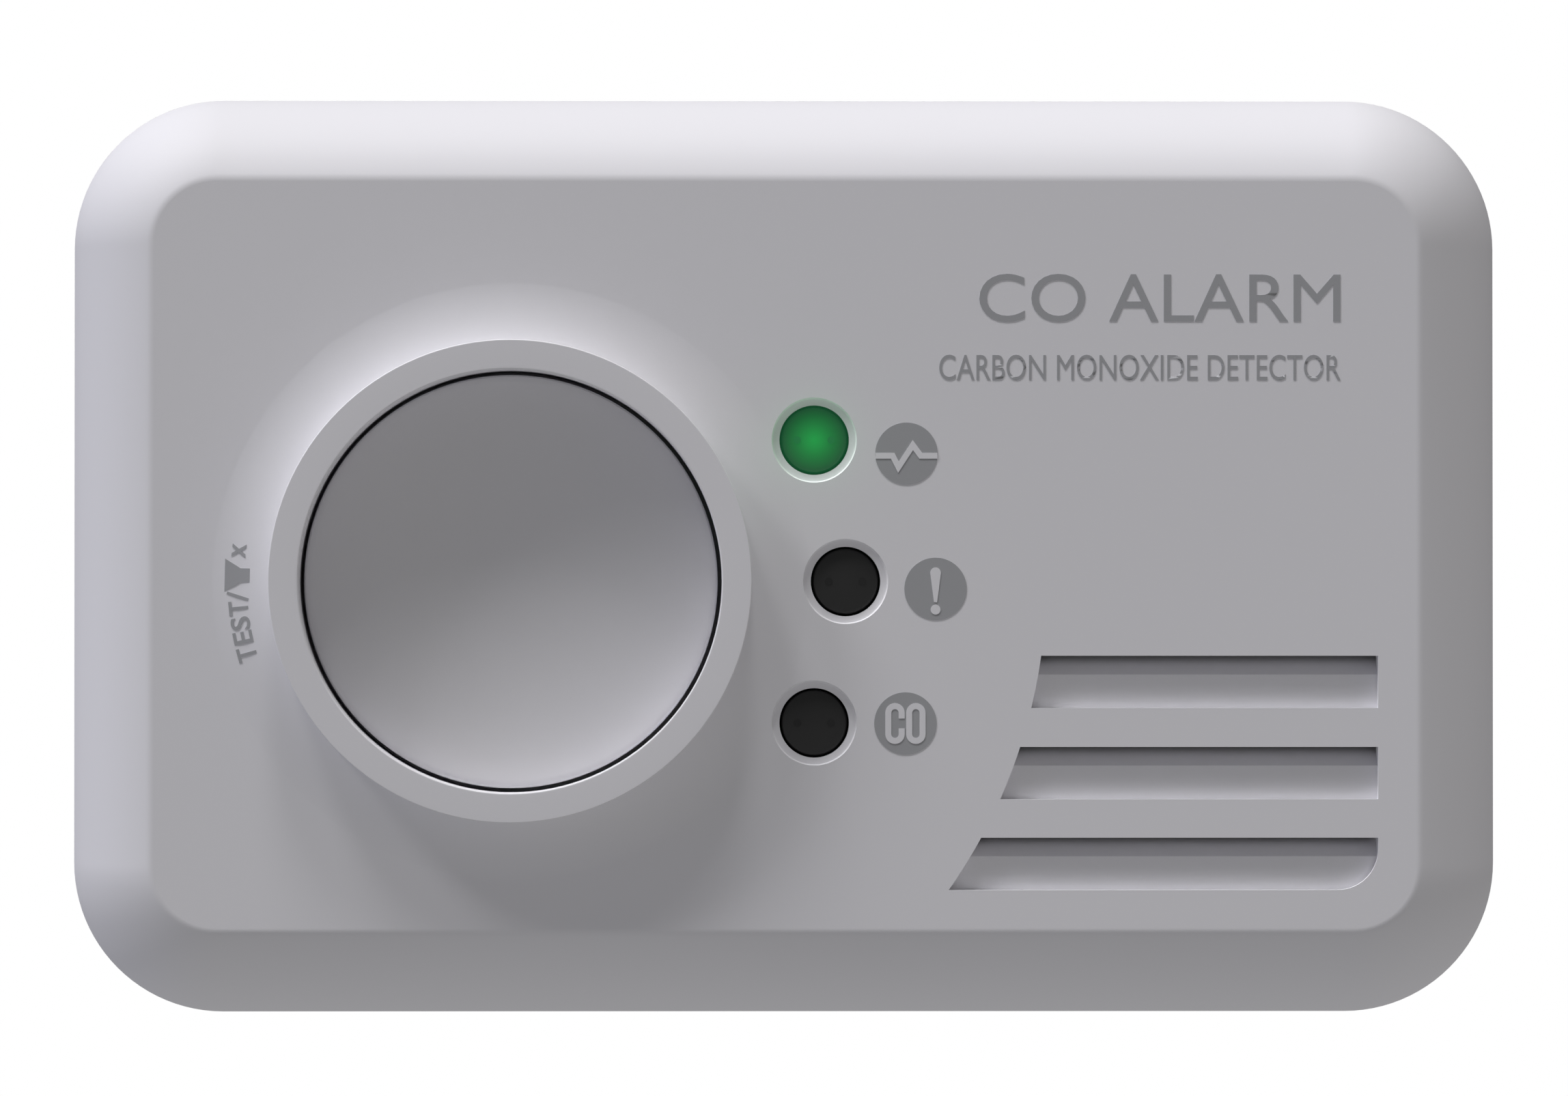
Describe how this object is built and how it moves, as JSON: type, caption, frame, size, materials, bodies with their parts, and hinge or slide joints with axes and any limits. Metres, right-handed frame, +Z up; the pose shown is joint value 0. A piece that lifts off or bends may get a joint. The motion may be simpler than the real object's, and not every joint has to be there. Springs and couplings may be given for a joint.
{
  "type": "carbon monoxide alarm",
  "caption": "White rectangular carbon monoxide alarm with a round test button, status lights with icons, louvred vents, and a battery bay behind a hinged door at the back.",
  "frame": {"origin": "middle of the footprint: half the width, half the depth, at the bottom of the case", "axes": "+Z up, the face looks along -Y, the back lies against a wall at +Y, +X to the right of someone facing the alarm"},
  "size_m": [0.1076, 0.036, 0.069],
  "materials": {
    "white_plastic": "fine-textured moulded ABS, off-white",
    "black_plastic": "moulded black plastic",
    "chip_epoxy": "black epoxy package",
    "spring_steel": "nickel-plated spring steel",
    "screw_steel": "zinc-plated steel",
    "sensor_can": "drawn steel can",
    "brass_disc": "rolled brass sheet",
    "piezo_ceramic": "silvered piezo ceramic",
    "coil_copper": "enamelled copper winding on a ferrite drum",
    "capacitor_can": "sleeved aluminium can",
    "circuit_board": "glass-epoxy board under green solder mask",
    "green_led": "moulded epoxy lens, lit green",
    "amber_led": "moulded epoxy lens, unlit",
    "red_led": "moulded epoxy lens, unlit",
    "cell_jacket": "printed sleeve on an AA cell",
    "label_paper": "plain adhesive label"
  },
  "bodies": {
    "case": {"front_cover": "white_plastic", "rear_cover": "white_plastic", "sounder_base": "black_plastic", "sounder_cap": "black_plastic", "co_sensor_cap": "black_plastic", "tact_switch_body": "black_plastic", "microcontroller": "chip_epoxy", "button_spring": "spring_steel", "battery_contact_positive": "spring_steel", "battery_contact_negative": "spring_steel", "battery_contact_bridge": "spring_steel", "case_screw_1": "screw_steel", "case_screw_2": "screw_steel", "case_screw_3": "screw_steel", "case_screw_4": "screw_steel", "pcb_screw_1": "screw_steel", "pcb_screw_2": "screw_steel", "pcb_screw_3": "screw_steel", "pcb_screw_4": "screw_steel", "co_sensor_can": "sensor_can", "piezo_disc": "brass_disc", "piezo_element": "piezo_ceramic", "booster_coil": "coil_copper", "storage_capacitor": "capacitor_can", "main_pcb": "circuit_board", "power_led": "green_led", "fault_led": "amber_led", "alarm_led": "red_led", "battery_upper": "cell_jacket", "battery_lower": "cell_jacket", "rating_label": "label_paper"},
    "button": {"test_button": "white_plastic"},
    "switch_plunger": {"tact_switch_plunger": "black_plastic"},
    "door": {"battery_door": "white_plastic"}
  },
  "joints": [
    {"name": "button_press", "type": "slide", "parent": "case", "child": "button", "axis": [0, 1, 0], "range_m": [0, 0.0008], "stiffness_N_per_m": 500, "springref_m": -0.002, "deforming": ["button_spring"]},
    {"name": "switch_press", "type": "slide", "parent": "case", "child": "switch_plunger", "axis": [0, 1, 0], "range_m": [0, 0.0003]},
    {"name": "battery_door_open", "type": "hinge", "parent": "case", "child": "door", "pos_m": [0, 0.01595, 0.0177], "axis": [-1, 0, 0], "range_deg": [0, 95]}
  ],
  "couplings": [
    {"joint": "switch_press", "follows": "button_press", "ratio": 0.35}
  ]
}
